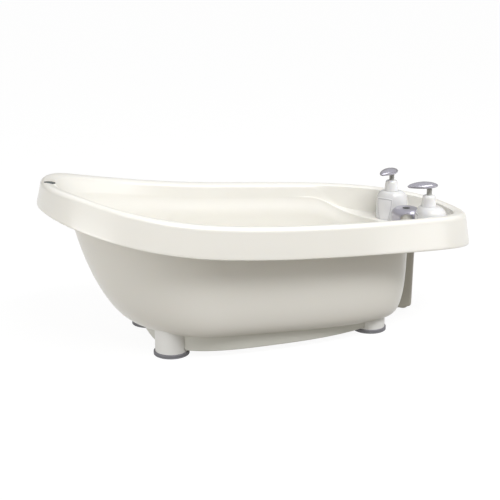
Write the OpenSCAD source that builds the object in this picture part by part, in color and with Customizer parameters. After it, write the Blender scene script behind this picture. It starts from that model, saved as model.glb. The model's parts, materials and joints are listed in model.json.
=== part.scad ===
// Baby bath on four legs, with a foot-end deck that holds two pump bottles and a drain knob.
// X runs along the bath, head end at -X; Z is up; the floor is z = 0.

/* [Rim] */
// Overall length
bath_len = 960; // [960:1:960]
// Overall width
bath_w = 483; // [478:1:488]
// Where along X the bath is widest
wide_x = -156; // [-158:1:-154]
// Squareness of the head half of the rim, 2 is an ellipse
rim_n_head = 2.1; // [2.05:0.05:2.15]
// Squareness of the foot half of the rim
rim_n_foot = 2.8; // [2.75:0.05:2.9]
// Height of the rim at the middle of the bath
rim_mid_z = 282; // [280:1:284]
// Height of the skirt that hangs from the rim
skirt_h = 63; // [60:1:66]
// Wall thickness of the moulding
wall = 3.3; // [3:0.1:3.6]

/* [Basin] */
// Head end of the basin, outside, at its bottom
base_head_x = -298; // [-300:1:-297]
// Foot end of the basin, outside, at its bottom
base_foot_x = 278; // [276:1:279]
// Half width of the basin, outside, at its bottom
base_half_w = 136; // [135:1:138]
// Head end of the basin, outside, under the rim
top_head_x = -418; // [-420:1:-416]
// Foot end of the basin, outside, under the deck
top_foot_x = 316; // [315:1:316]
// Half width of the basin, outside, under the rim
top_half_w = 192; // [190:1:193]
// Height of the basin's underside at the middle
floor_mid_z = 39; // [38:1:40]
// Height of the foot-end deck
deck_z = 200; // [199:1:201]

/* [Legs] */
// Leg diameter
leg_d = 68.5; // [67.5:0.5:69.5]
// Leg row at the head end
leg_head_x = -235; // [-236:1:-234]
// Leg row at the foot end
leg_foot_x = 218; // [217:1:219]
// Distance of each leg from the centre line
leg_y = 99; // [98:1:100]

/* [Drain] */
// Valve axis, under the knob
valve_x = 352; // [351:1:353]
// Knob diameter
knob_d = 68; // [66:1:70]
// How far the valve lifts over a quarter turn
valve_lift = 8; // [7:0.5:8]
// Outside diameter of the outlet spigot
spigot_d = 22; // [21:1:23]

/* [Bottles] */
// Well centre along X
well_x = 363; // [362.5:0.5:363]
// Well centre from the centre line
well_y = 89; // [88.5:0.5:89]
// Well diameter
well_d = 80; // [79.6:0.2:80]
// Height of the well's floor
well_z = 188; // [187:1:189]
// Way the near bottle and its spout point, degrees from the head end
near_turn = -12; // [-14:1:-10]
// Way the far bottle points, degrees from the head end
far_turn = 44; // [42:1:46]
// Way the far spout points, degrees from the head end
far_spout_turn = 33; // [20:1:60]
// Spout reach from the stem
spout_reach = 50; // [48:1:52]

/* [Hidden] */
$fn = 64;
half_len = bath_len / 2;
half_w = bath_w / 2;
gap = 0.3;
side_count = 64;
ivory = [0.95, 0.94, 0.89];
cool_white = [0.86, 0.86, 0.85];
lilac_grey = [0.66, 0.65, 0.69];
rubber_grey = [0.52, 0.52, 0.53];
steel = [0.75, 0.75, 0.76];

// The bath's sweep is a quartic of u = x / half_len, high at the head and low at the foot.
// The crest of the rim follows it and levels off near the head end.
rim_curve = [rim_mid_z, -30, 23, -38, 3];
ease_from_x = -400;
head_ease = 15;
function sweep_z(x) =
    let(u = x / half_len)
    rim_curve[0] + rim_curve[1] * u + rim_curve[2] * pow(u, 2) + rim_curve[3] * pow(u, 3)
    + rim_curve[4] * pow(u, 4);
function rim_z(x) = sweep_z(x) - head_ease * pow(max(0, (ease_from_x - x) / (half_len + ease_from_x)), 2);
function skirt_drop(x) = let(u = x / half_len) skirt_h + u + 5 * pow(u, 2);
function floor_z(x) = floor_mid_z - 22 * x / half_len;
function smooth(v) = let(t = max(0, min(1, v))) t * t * (3 - 2 * t);
deck_from_x = 190;
deck_full_x = 296;
function deck_share(x) = smooth((x - deck_from_x) / (deck_full_x - deck_from_x));
function mix(a, b, t) = a + (b - a) * t;

// A closed outline of two half superellipses that meet at the widest line.
function outline(head, foot, half_width, n_head, n_foot, x_wide = wide_x, count = side_count) = [
    for (i = [0 : count - 1])
        let(t = 360 * i / count, c = cos(t), s = sin(t), n = c < 0 ? n_head : n_foot,
            k = pow(pow(abs(c), n) + pow(abs(s), n), 1 / n))
        [x_wide + (c < 0 ? head : foot) * c / k, half_width * s / k]
];
function rim_outline(inset) = outline(half_len + wide_x - inset, half_len - wide_x - inset,
    half_w - inset, rim_n_head, rim_n_foot);

// Solid through rings of equal point count. Each ring turns anticlockwise about the way the list runs.
module loft(rings) {
    n = len(rings[0]);
    m = len(rings);
    points = [for (ring = rings) each ring];
    sides = [
        for (j = [0 : m - 2], i = [0 : n - 1])
            let(a = j * n + i, b = j * n + (i + 1) % n, c = b + n, d = a + n)
            each [[a, c, b], [a, d, c]]
    ];
    first_cap = [for (i = [0 : n - 1]) i];
    last_cap = [for (i = [n - 1 : -1 : 0]) (m - 1) * n + i];
    polyhedron(points, concat([first_cap], sides, [last_cap]));
}
function at_height(plan, z) = [for (p = plan) [p[0], p[1], z]];

// Basin: s runs from 0 at the floor to 1 under the rim, each direction growing at its own rate.
basin_n_head = 1.8;
basin_n_foot = 3.7;
head_grow = 1.45;
foot_grow = 2.7;
side_grow = 4.5;
basin_steps = concat([for (a = [0, 9, 18, 28, 40, 53, 65, 75, 82]) 1 - pow(cos(a), 2 / side_grow)],
    [0.7, 0.81, 0.87, 0.93, 1]);
// Near its mouth the basin flares out to meet the rim's inner edge.
flare_from = 0.81;
flare_head = 16;
flare_side = 11;
function flare(s) = smooth((s - flare_from) / (1 - flare_from));
function grown(s, rate) = pow(max(0, 1 - pow(1 - s, rate)), 1 / rate);
function basin_outline(s, inset) = outline(
    wide_x - mix(base_head_x, top_head_x, grown(s, head_grow)) + flare_head * flare(s) - inset,
    mix(base_foot_x, top_foot_x, grown(s, foot_grow)) - wide_x - inset,
    mix(base_half_w, top_half_w, grown(s, side_grow)) + flare_side * flare(s) - inset,
    basin_n_head, basin_n_foot);
mouth_drop = 30;
function mouth_z(x) = mix(rim_z(x) - mouth_drop, deck_z, deck_share(x));
function basin_ring(s, inset, raise) = [
    for (p = basin_outline(s, inset))
        [p[0], p[1], mix(floor_z(p[0]) + raise, mouth_z(p[0]) - wall + raise, s)]
];
module basin_outside() loft([for (s = basin_steps) basin_ring(s, 0, 0)]);

// Rim section: an inner and an outer elliptical arc meet at the crest.
crest_inset = 19;
crest_rise = 0.4;
inner_arc = [19.2, 8];
outer_arc = [10.7, 12.5];
inner_arc_end = -65;
function arc_inset(a, r, thick) = crest_inset - (r[0] - thick) * sin(a);
function arc_drop(a, r, thick) = -crest_rise + thick + (r[1] - thick * cos(a)) * (1 - cos(a));
function rim_ring(inset, drop) = [for (p = rim_outline(inset)) [p[0], p[1], rim_z(p[0]) - drop]];
function skirt_ring(inset, up) = [
    for (p = rim_outline(inset)) [p[0], p[1], sweep_z(p[0]) - skirt_drop(p[0]) + up]
];
ledge_inset = 38.5;
ledge_drop = 8;
function ledge_ring(inset, lower) = [
    for (p = rim_outline(inset))
        [p[0], p[1], mix(rim_z(p[0]) - ledge_drop, deck_z, deck_share(p[0])) - lower]
];
// The moulding's section from under the floor, up the outside, over the rim and down to the basin floor.
function tub_rings() = concat(
    [for (s = basin_steps) basin_ring(s, 0, 0)],
    [ledge_ring(ledge_inset - wall, wall + 0.2), rim_ring(ledge_inset - wall - 1, ledge_drop + wall - 1)],
    [for (a = [0, 45, 90]) rim_ring(arc_inset(a, outer_arc, wall), arc_drop(a, outer_arc, wall))],
    [skirt_ring(wall + 0.5, 0), skirt_ring(1, 0), skirt_ring(0, 2.5)],
    [for (a = [90, 68, 45, 22]) rim_ring(arc_inset(a, outer_arc, 0), arc_drop(a, outer_arc, 0))],
    [for (a = [0, -35, inner_arc_end]) rim_ring(arc_inset(a, inner_arc, 0), arc_drop(a, inner_arc, 0))],
    [ledge_ring(ledge_inset, 0)],
    [for (i = [len(basin_steps) - 1 : -1 : 0]) basin_ring(basin_steps[i], wall, wall)]
);

leg_places = [[leg_head_x, -leg_y], [leg_head_x, leg_y], [leg_foot_x, -leg_y], [leg_foot_x, leg_y]];
post_places = [[-150, -70], [-150, 70], [110, -85], [110, 85]];
boss_h = 10;
boss_r = 8;
post_r = 6;
sunk = 1.5;
leg_screw_r = 2.5;
tray_screw_r = 2;
tray_z = 13;
tray_wall = 2.5;
drain_x = 238;
drain_bore_r = 17;
well_r = well_d / 2;
cup_wall = 3;
rib_places = [-99, 74];
rib_t = 2.6;
cap_screw_ring = 19.5;
cap_screw_r = 1.8;
rod_r = 4;
rod_hole_r = 6;
// Thermometer button: its seat on the head end of the rim.
button_x = -454;
button_r = 11.7;
button_tilt = 5;
button_drop = 1.6;
button_sink = 1.2;
pad_edge = 1.2;
pad_depth = 5.6;
pad_rise = 0.4;
module at_button()
    translate([button_x, 0, rim_z(button_x) - button_drop]) rotate([0, button_tilt, 0]) children();

// A gusset between the skirt and the basin wall. Its corners lie in the middle of both walls.
function half_at(x, head, foot, half, n_head, n_foot) =
    let(u = abs(x - wide_x) / (x < wide_x ? head : foot), n = x < wide_x ? n_head : n_foot)
    half * pow(1 - pow(u, n), 1 / n);
rib_below = 16;
rib_above = 30;
rib_outer_above = [6, 40];
module rim_rib(x) {
    skirt_edge = sweep_z(x) - skirt_drop(x);
    skirt_y = half_at(x, half_len + wide_x, half_len - wide_x, half_w, rim_n_head, rim_n_foot);
    wall_y = half_at(x, wide_x - top_head_x, top_foot_x - wide_x, top_half_w, basin_n_head, basin_n_foot)
        - wall / 2;
    rib = [[wall_y, skirt_edge - rib_below], [skirt_y - wall, skirt_edge + rib_outer_above[0]],
           [skirt_y - 11, skirt_edge + rib_outer_above[1]], [wall_y + flare_side, skirt_edge + rib_above]];
    for (side = [-1, 1])
        translate([x - rib_t / 2, 0, 0])
            rotate([90, 0, 90])
                linear_extrude(rib_t) polygon([for (p = rib) [side * p[0], p[1]]]);
}

module tub_shell() color(ivory) difference() {
    union() {
        loft(tub_rings());
        for (side = [-1, 1])
            translate([well_x, side * well_y, well_z - cup_wall])
                cylinder(r = well_r + cup_wall, h = deck_z - well_z + cup_wall - 1);
        for (p = leg_places)
            translate([p[0], p[1], floor_z(p[0]) - boss_h]) cylinder(r = boss_r, h = boss_h + sunk);
        for (p = post_places)
            translate([p[0], p[1], tray_z + tray_wall])
                cylinder(r = post_r, h = floor_z(p[0]) + sunk - tray_z - tray_wall);
        for (x = rib_places) rim_rib(x);
        at_button() translate([0, 0, -pad_depth])
            cylinder(r1 = button_r + 2 * pad_edge, r2 = button_r + pad_edge, h = pad_depth + pad_rise);
    }
    at_button() translate([0, 0, -button_sink]) cylinder(r = button_r, h = 20);
    for (side = [-1, 1])
        translate([well_x, side * well_y, well_z]) cylinder(r = well_r, h = 60);
    for (p = leg_places)
        translate([p[0], p[1], floor_z(p[0]) - boss_h - 1]) cylinder(r = leg_screw_r, h = boss_h);
    for (p = post_places)
        translate([p[0], p[1], tray_z]) cylinder(r = tray_screw_r, h = 14);
    translate([drain_x, 0, 0]) cylinder(r = drain_bore_r, h = 60);
    translate([valve_x, 0, deck_z - 20]) cylinder(r = rod_hole_r, h = 40);
    for (a = [45 : 90 : 315])
        translate([valve_x, 0, deck_z - 20])
            rotate(a) translate([cap_screw_ring, 0, 0]) cylinder(r = cap_screw_r, h = 40);
}

// Tray: the shallow lower moulding that closes the underside.
tray_x = -44;
tray_head = 216;
tray_foot = 328;
tray_half_w = 160;
tray_top = 62;
tray_flare = 2;
function tray_ring(inset, z, flare) = at_height(
    outline(tray_head - inset + flare, tray_foot - inset + flare, tray_half_w - inset + flare,
            3, 2.5, tray_x), z);
duct_half_w = 24;
duct_z = 16.5;
duct_h = 9;
module base_tray() color(cool_white) difference() {
    loft([tray_ring(3, tray_z, 0), tray_ring(0, tray_z + 3, 0), tray_ring(0, tray_top, tray_flare)]);
    loft([tray_ring(tray_wall + 2, tray_z + tray_wall, 0), tray_ring(tray_wall, tray_top + 8, tray_flare)]);
    basin_outside();
    for (p = leg_places) translate([p[0], p[1], 0]) cylinder(r = leg_d / 2 + gap, h = 80);
    for (p = post_places) translate([p[0], p[1], 0]) cylinder(r = tray_screw_r, h = 20);
    translate([drain_x, -duct_half_w - 1, duct_z - 0.5]) cube([80, 2 * duct_half_w + 2, duct_h + 1.2]);
}

// Legs stand in rubber feet and are cut to the basin's underside.
foot_floor = 3;
foot_rise = 9;
leg_wall = 3;
module leg(p) color(cool_white) difference() {
    plate_top = floor_z(p[0]) - boss_h;
    translate([p[0], p[1], foot_floor]) cylinder(d = leg_d, h = floor_z(p[0]) + 30);
    translate([p[0], p[1], 0]) cylinder(d = leg_d - 2 * leg_wall, h = plate_top - leg_wall);
    translate([p[0], p[1], plate_top]) cylinder(d = leg_d - 2 * leg_wall, h = 90);
    translate([p[0], p[1], 0]) cylinder(r = leg_screw_r, h = 80);
    basin_outside();
}
module leg_head_near() leg(leg_places[0]);
module leg_head_far() leg(leg_places[1]);
module leg_foot_near() leg(leg_places[2]);
module leg_foot_far() leg(leg_places[3]);

module foot(p) color(rubber_grey) translate([p[0], p[1], 0]) rotate_extrude() polygon([
    [0, 0], [leg_d / 2 + 1.8, 0], [leg_d / 2 + 3.2, 1.4], [leg_d / 2 + 3.2, foot_rise - 2],
    [leg_d / 2 + 1.6, foot_rise], [leg_d / 2 + 0.1, foot_rise], [leg_d / 2 + 0.1, foot_floor],
    [0, foot_floor]
]);
module foot_head_near() foot(leg_places[0]);
module foot_head_far() foot(leg_places[1]);
module foot_foot_near() foot(leg_places[2]);
module foot_foot_far() foot(leg_places[3]);

// A pan-head screw that points up, its head's bearing face at z = 0.
module screw(r, length, head_r, head_h) color(steel) {
    rotate_extrude() polygon([[0, -head_h], [head_r - 0.6, -head_h], [head_r, -head_h + 0.8],
                              [head_r, 0], [r, 0], [r, length], [0, length]]);
}
module leg_screws() for (p = leg_places)
    translate([p[0], p[1], floor_z(p[0]) - boss_h - leg_wall]) screw(leg_screw_r, 11.5, 5, 3);
module tray_screws() for (p = post_places)
    translate([p[0], p[1], tray_z]) screw(tray_screw_r, 13.5, 4, 2.4);

// Drain: strainer and seal above the floor, tailpiece under it, and a flat duct to the column.
seal_t = 1.5;
flange_r = 24;
tail_r = 16;
tail_wall = 1.8;
tail_l = 4;
floor_fall = atan(22 / half_len);
module at_drain()
    translate([drain_x, 0, floor_z(drain_x) + wall + 0.05]) rotate([0, floor_fall, 0]) children();
module drain_seal() color(rubber_grey) at_drain() difference() {
    cylinder(r = flange_r - 1, h = seal_t);
    translate([0, 0, -1]) cylinder(r = tail_r + gap, h = 5);
}
module drain_strainer() color(lilac_grey) at_drain() difference() {
    union() {
        translate([0, 0, seal_t]) cylinder(r1 = flange_r, r2 = flange_r - 1.5, h = 2.5);
        translate([0, 0, -tail_l]) cylinder(r = tail_r, h = tail_l + seal_t + 1);
    }
    translate([0, 0, -10]) cylinder(r = tail_r - tail_wall, h = 10 + seal_t);
    translate([0, 0, -10]) cylinder(r = 2.4, h = 40);
    for (a = [0 : 60 : 300]) rotate(a) translate([8.6, 0, -10]) cylinder(r = 2.8, h = 40);
}
duct_wall = 1.6;
duct_end = 320.5;
module drain_duct() color(ivory) difference() {
    union() {
        translate([drain_x - 20, -duct_half_w, duct_z])
            cube([duct_end - drain_x + 20, 2 * duct_half_w, duct_h]);
        translate([drain_x, 0, duct_z]) cylinder(r = tail_r + 2, h = duct_h + 1);
    }
    translate([drain_x - 20 + duct_wall, -duct_half_w + duct_wall, duct_z + duct_wall])
        cube([duct_end - drain_x + 40, 2 * (duct_half_w - duct_wall), duct_h - 2 * duct_wall]);
    translate([drain_x, 0, duct_z + duct_wall]) cylinder(r = tail_r - tail_wall, h = 20);
}

// Column: a closed D-shaped housing under the deck, round the valve rod.
column_z = 15.5;
column_top = deck_z - wall - 0.2;
column_back = 319;
column_floor = 2.2;
column_lid = 3;
seat_r = 8.5;
function column_plan(inset, back_inset, taper) =
    let(front = 17 - inset - taper, side = 40 - inset - taper, x0 = column_back + back_inset) [
        [x0, -side], [valve_x - 4, -side],
        for (a = [-75 : 15 : 75]) [valve_x - 4 + (front + 4) * cos(a), side * sin(a)],
        [valve_x - 4, side], [x0, side]
    ];
module drain_housing() color(ivory) difference() {
    loft([at_height(column_plan(1.5, 0, 3), column_z), at_height(column_plan(0, 0, 2.6), column_z + 3),
          at_height(column_plan(0, 0, 0), column_top)]);
    difference() {
        loft([at_height(column_plan(2.5, 2.5, 2.6), column_z + column_floor),
              at_height(column_plan(2.5, 2.5, 0), column_top - column_lid)]);
        translate([valve_x, 0, 0])
            for (a = [45 : 90 : 315])
                rotate(a) translate([cap_screw_ring, 0, column_top - 14]) cylinder(r = 4.5, h = 40);
    }
    translate([valve_x, 0, 0])
        for (a = [45 : 90 : 315])
            rotate(a) translate([cap_screw_ring, 0, column_top - 12]) cylinder(r = cap_screw_r, h = 40);
    translate([valve_x, 0, column_z - 1]) cylinder(r = seat_r, h = 10);
    translate([valve_x, 0, column_top - 10]) cylinder(r = rod_hole_r, h = 40);
    translate([column_back - 1, -duct_half_w, duct_z]) cube([6, 2 * duct_half_w, duct_h]);
}
spigot_z = 4;
spigot_r = spigot_d / 2;
module outlet_spigot() color(cool_white) translate([valve_x, 0, 0]) rotate_extrude() polygon([
    [seat_r - 1, spigot_z], [spigot_r - 0.8, spigot_z], [spigot_r, spigot_z + 0.8],
    [spigot_r, column_z - 2.5],
    [spigot_r + 1.5, column_z - 2.5], [spigot_r + 1.5, column_z], [seat_r - 0.1, column_z],
    [seat_r - 0.1, column_z + column_floor - 0.5], [seat_r - 1, column_z + column_floor - 0.5]
]);

// Valve: the knob climbs two ramps as it turns and lifts the rod and plug with it.
cam_z = deck_z + 0.1;
cam_base = 2.4;
hub_r = 8;
hub_h = 10;
cup_r = 26;
cup_rim = 2;
ramp_in = 10;
ramp_out = 15.5;
lug_angle = 16;
ramp_turn = 90;
cup_top = cam_z + 34;
function ramp_ring(a, z_low, z_high) = [
    [ramp_in * cos(a), ramp_in * sin(a), z_low], [ramp_in * cos(a), ramp_in * sin(a), z_high],
    [ramp_out * cos(a), ramp_out * sin(a), z_high], [ramp_out * cos(a), ramp_out * sin(a), z_low]
];
module ramp() loft([for (i = [0 : 12]) let(a = lug_angle + ramp_turn * i / 12)
    ramp_ring(a, cam_z + 1, cam_z + cam_base + 0.2 + (valve_lift - 0.2) * i / 12)]);
module cam_bush() color(ivory) difference() {
    union() {
        translate([valve_x, 0, cam_z]) cylinder(r = cup_r, h = cam_base);
        translate([valve_x, 0, cam_z]) cylinder(r = hub_r, h = hub_h);
        translate([valve_x, 0, cam_z]) difference() {
            cylinder(r = cup_r, h = cup_top - cam_z);
            cylinder(r = cup_r - cup_rim, h = 40);
        }
        for (turn = [0, 180]) translate([valve_x, 0, 0]) rotate(turn) ramp();
    }
    translate([valve_x, 0, cam_z - 1]) cylinder(r = rod_r + 0.08, h = 20);
    for (a = [45 : 90 : 315])
        translate([valve_x, 0, cam_z - 1])
            rotate(a) translate([cap_screw_ring, 0, 0]) cylinder(r = cap_screw_r, h = 40);
}
module housing_screws() for (a = [45 : 90 : 315])
    translate([valve_x, 0, cam_z + cam_base])
        rotate(a) translate([cap_screw_ring, 0, 0]) rotate([180, 0, 0]) screw(cap_screw_r, 14, 3.3, 1.8);

knob_r = knob_d / 2;
knob_bottom = deck_z + 1.2;
knob_top = 241;
knob_plate = 4;
// The knob's arched window: where it faces, the height of the arch's centre, and its half width.
window_turn = -25;
arch_z = knob_top - 20.3;
arch_half_w = 15;
module drain_knob() color(lilac_grey) translate([valve_x, 0, 0]) difference() {
    union() {
        difference() {
            rotate_extrude() polygon([
                [0, knob_bottom], [knob_r - 1.5, knob_bottom], [knob_r, knob_top - 11],
                [knob_r - 1.2, knob_top - 6.5],
                [knob_r - 4.5, knob_top - 2], [knob_r - 8.5, knob_top + 1.2],
                [knob_r - 10.5, knob_top + 1.8],
                [knob_r - 12, knob_top + 1.2], [12, knob_top + 1.6], [9, knob_top + 1], [0, knob_top + 1]
            ]);
            rotate_extrude() polygon([
                [0, knob_bottom - 1], [knob_r - 4, knob_bottom - 1], [knob_r - 4, knob_top - 12],
                [knob_r - 9, knob_top - knob_plate], [0, knob_top - knob_plate]
            ]);
        }
        translate([0, 0, cam_z + hub_h + 1]) cylinder(r = hub_r, h = knob_top - cam_z - hub_h - 1);
        for (turn = [0, 180]) rotate([0, 0, turn])
            translate([0, 0, cam_z + cam_base + 0.9])
                rotate_extrude(angle = lug_angle - 1)
                    translate([ramp_in, 0])
                        square([ramp_out - ramp_in, knob_top - 2 - cam_z - cam_base - 0.9]);
    }
    translate([0, 0, cam_z]) cylinder(r = rod_r + 0.06, h = knob_top + 5 - cam_z);
    rotate([0, 0, window_turn]) translate([0, -knob_r - 5, arch_z]) rotate([-90, 0, 0])
        linear_extrude(12) union() {
            circle(r = arch_half_w);
            translate([-arch_half_w, 0]) square([2 * arch_half_w, 40]);
        }
}
module knob_cap() color([0.25, 0.25, 0.27]) translate([valve_x, 0, 0]) rotate_extrude() polygon([
    [0, knob_top + 1.1], [8.4, knob_top + 1.1], [8.4, knob_top + 1.6], [6.5, knob_top + 2.2],
    [0, knob_top + 1.5]
]);
seat_z = column_z + column_floor;
rod_bottom = seat_z + 0.6;
module valve_rod() color(steel) translate([valve_x, 0, 0]) rotate_extrude() polygon([
    [0, rod_bottom], [rod_r, rod_bottom], [rod_r, knob_top + 1], [0, knob_top + 1]
]);
module valve_plug() color(lilac_grey) translate([valve_x, 0, seat_z]) rotate_extrude() polygon([
    [rod_r, 2.5], [10.4, 2.5], [11.2, 3.3], [11.2, 5.5], [8, 9], [7, 17], [rod_r, 17]
]);
module valve_seal() color([0.2, 0.2, 0.2]) translate([valve_x, 0, seat_z]) rotate_extrude() polygon([
    [rod_r, 0.2], [10.4, 0.2], [11, 0.8], [11, 2.5], [rod_r, 2.5]
]);

module thermometer_bezel() color([0.36, 0.38, 0.38]) at_button() rotate_extrude() polygon([
    [0, -button_sink], [button_r, -button_sink], [button_r, 1], [button_r - 0.8, 1.8],
    [button_r - 1.8, 1.8], [button_r - 1.8, 0], [0, 0]
]);
module thermometer_window() color([0.3, 0.33, 0.34]) at_button() rotate_extrude() polygon([
    [0, 0], [button_r - 1.9, 0], [button_r - 1.9, 1.5], [button_r - 4, 2.5], [5, 3.4], [0, 3.8]
]);

// Bottle: oval in plan, its neck nearer the front. Each stands a little off its well's centre.
bottle_half_depth = 35;
bottle_half_w = 37;
neck_forward = 7;
near_play = 4;
far_play = -2.6;
bottle_wall = 1.6;
shoulder_z = 262;
neck_top = 272;
neck_r = 12;
// Each step is a height, how far the plan draws in there, and the share of the neck's offset left.
bottle_steps = [[well_z + 0.3, 5, 1], [well_z + 2, 1.6, 1], [well_z + 6, 0, 1], [240, 0, 1], [250, 1.5, 0.92],
                [256, 4.5, 0.76], [260.5, 9, 0.53], [263.5, 14.5, 0.24], [265, 19, 0]];
inside_steps = [[well_z + 2, 6, 1], [well_z + 4, 3, 1], [well_z + 7, bottle_wall, 1], [239.5, bottle_wall, 1],
                [249, bottle_wall + 1.6, 0.92], [254.8, bottle_wall + 4.8, 0.76],
                [259, bottle_wall + 9.4, 0.5],
                [261.8, bottle_wall + 15, 0.2], [263, bottle_wall + 18, 0]];
function bottle_plan(step) = outline(bottle_half_depth - step[1], bottle_half_depth - step[1],
    bottle_half_w - step[1], 2.15, 2.1, neck_forward * step[2], 32);
module at_bottle(side, turn)
    translate([well_x + (side < 0 ? near_play : far_play), side * well_y, 0])
        rotate([0, 0, turn]) translate([-neck_forward, 0, 0]) children();
module bottle(side, turn) color([0.95, 0.95, 0.96]) at_bottle(side, turn) difference() {
    union() {
        loft([for (b = bottle_steps) at_height(bottle_plan(b), b[0])]);
        translate([0, 0, 258]) cylinder(r = neck_r, h = neck_top - 258);
    }
    loft([for (b = inside_steps) at_height(bottle_plan(b), b[0])]);
    translate([0, 0, 255]) cylinder(r = neck_r - 2, h = 40);
}
collar_z = 265.6;
collar_top = 291;
stem_r = 5.7;
module pump_collar(side, turn) color([0.93, 0.93, 0.93]) at_bottle(side, turn) rotate_extrude() polygon([
    [neck_r + 0.1, collar_z], [16, collar_z], [15.4, collar_z + 10], [14.6, collar_top - 4],
    [12.5, collar_top - 0.8],
    [9, collar_top], [stem_r + 0.08, collar_top], [stem_r + 0.08, collar_top - 3],
    [9.5, collar_top - 3], [9.5, neck_top + 1.6], [neck_r + 0.1, neck_top + 1.6]
]);
// Pump barrel: its flange sits on the neck, its nipple takes the dip tube.
barrel_r = 8;
barrel_z = 226;
module pump_barrel(side, turn) color([0.9, 0.9, 0.92]) at_bottle(side, turn) rotate_extrude() polygon([
    [2, barrel_z - 8], [3.2, barrel_z - 8], [3.2, barrel_z], [barrel_r, barrel_z + 1.5],
    [barrel_r, neck_top],
    [neck_r, neck_top], [neck_r, neck_top + 1.5], [barrel_r - 1.2, neck_top + 1.5],
    [barrel_r - 1.2, barrel_z + 2.5],
    [2, barrel_z + 2]
]);
module dip_tube(side, turn) color([0.9, 0.9, 0.92]) at_bottle(side, turn) rotate_extrude() polygon([
    [3.2, well_z + 5], [4.2, well_z + 5], [4.2, barrel_z - 0.5], [3.2, barrel_z - 0.5]
]);
stroke = 10;
piston_z = 247;
head_z = 307;
module pump_stem(side, turn) color(rubber_grey) at_bottle(side, turn) rotate_extrude() polygon([
    [1.8, piston_z], [barrel_r - 1.26, piston_z], [barrel_r - 1.26, piston_z + 5], [4, piston_z + 6.5],
    [4, collar_top - 6], [stem_r, collar_top - 4.5], [stem_r, head_z - 1], [4.6, head_z - 1],
    [4.6, head_z + 5], [1.8, head_z + 5]
]);
// Spring between the piston and the foot of the barrel.
spring_turns = 5;
spring_r = 4.6;
spring_wire = 0.5;
spring_low = barrel_z + 3.4;
function spring_ring(a) = [
    for (k = [0 : 60 : 300])
        let(r = spring_r + spring_wire * cos(k))
        [r * cos(a), r * sin(a),
         mix(spring_low, piston_z - 0.7, a / 360 / spring_turns) - spring_wire * sin(k)]
];
module pump_spring(side, turn) color(steel) at_bottle(side, turn)
    loft([for (a = [0 : 36 : 360 * spring_turns]) spring_ring(a)]);
// Head: a lens with its spout end towards the head of the bath.
head_back = 19;
head_half_w = 17;
channel_z = 4.6;
channel_r = 1.6;
head_mid = 13;
function head_plan(k) = outline((spout_reach - head_mid) * k, (head_back + head_mid) * k, head_half_w * k,
    1.6, 1.8, -head_mid, 28);
head_steps = [[0, 0.6], [0.7, 0.8], [1.9, 0.94], [3.3, 0.99], [4.6, 1], [6.2, 0.97], [8.2, 0.88],
              [10.4, 0.72],
              [12.3, 0.5], [13.4, 0.3], [13.9, 0.12]];
module pump_head(side, turn, swing = 0) color(lilac_grey) at_bottle(side, turn) rotate(swing) difference() {
    loft([for (h = head_steps) at_height(head_plan(h[1]), head_z + h[0])]);
    translate([0, 0, head_z - 1]) cylinder(r = 4.66, h = 6.4);
    translate([-spout_reach + 5, 0, head_z + channel_z]) rotate([0, 90, 0])
        cylinder(r = channel_r, h = spout_reach - 8);
    translate([-spout_reach + 7, 0, head_z - 1]) cylinder(r = channel_r, h = channel_z + 1);
}
module bottle_near() bottle(-1, near_turn);
module pump_collar_near() pump_collar(-1, near_turn);
module pump_barrel_near() pump_barrel(-1, near_turn);
module dip_tube_near() dip_tube(-1, near_turn);
module pump_stem_near() pump_stem(-1, near_turn);
module pump_spring_near() pump_spring(-1, near_turn);
module pump_head_near() pump_head(-1, near_turn);
module bottle_far() bottle(1, far_turn);
module pump_collar_far() pump_collar(1, far_turn);
module pump_barrel_far() pump_barrel(1, far_turn);
module dip_tube_far() dip_tube(1, far_turn);
module pump_stem_far() pump_stem(1, far_turn);
module pump_spring_far() pump_spring(1, far_turn);
module pump_head_far() pump_head(1, far_turn, far_spout_turn - far_turn);

tub_shell();
base_tray();
leg_head_near();
leg_head_far();
leg_foot_near();
leg_foot_far();
foot_head_near();
foot_head_far();
foot_foot_near();
foot_foot_far();
leg_screws();
tray_screws();
drain_strainer();
drain_seal();
drain_duct();
drain_housing();
outlet_spigot();
cam_bush();
housing_screws();
drain_knob();
knob_cap();
valve_rod();
valve_plug();
valve_seal();
thermometer_bezel();
thermometer_window();
bottle_near();
pump_collar_near();
pump_barrel_near();
dip_tube_near();
pump_stem_near();
pump_spring_near();
pump_head_near();
bottle_far();
pump_collar_far();
pump_barrel_far();
dip_tube_far();
pump_stem_far();
pump_spring_far();
pump_head_far();
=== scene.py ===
"""Looks of the baby bath: smooth meshes and moulded-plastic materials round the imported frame.

Shapes are worked out in millimetres in the frame's own axes, and become metres when a piece is made.
X runs from the head end to the foot end, Z is up, and the floor is z = 0.
"""

import json
import math

import bmesh
import bpy
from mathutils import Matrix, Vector


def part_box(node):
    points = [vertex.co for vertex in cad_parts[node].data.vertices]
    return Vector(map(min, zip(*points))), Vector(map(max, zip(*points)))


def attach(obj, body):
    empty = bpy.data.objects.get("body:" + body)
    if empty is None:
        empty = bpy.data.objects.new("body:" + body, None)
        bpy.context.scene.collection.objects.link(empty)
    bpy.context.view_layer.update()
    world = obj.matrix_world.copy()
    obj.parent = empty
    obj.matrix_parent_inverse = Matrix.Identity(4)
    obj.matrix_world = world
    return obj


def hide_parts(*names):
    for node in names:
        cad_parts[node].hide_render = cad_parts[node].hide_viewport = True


MM = 0.001

# Rim and sweep of the tub
WIDE_X = -156
RIM_N = (2.1, 2.8)
SWEEP = (282, -30, 23, -38, 3)
EASE_FROM_X = -400
HEAD_EASE = 15
SKIRT_H = 63
WALL = 3.3
CREST_INSET = 19
CREST_RISE = 0.4
INNER_ARC = (19.2, 8)
OUTER_ARC = (10.7, 12.5)
INNER_ARC_END = -65
LEDGE_INSET = 38.5
LEDGE_DROP = 8

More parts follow.
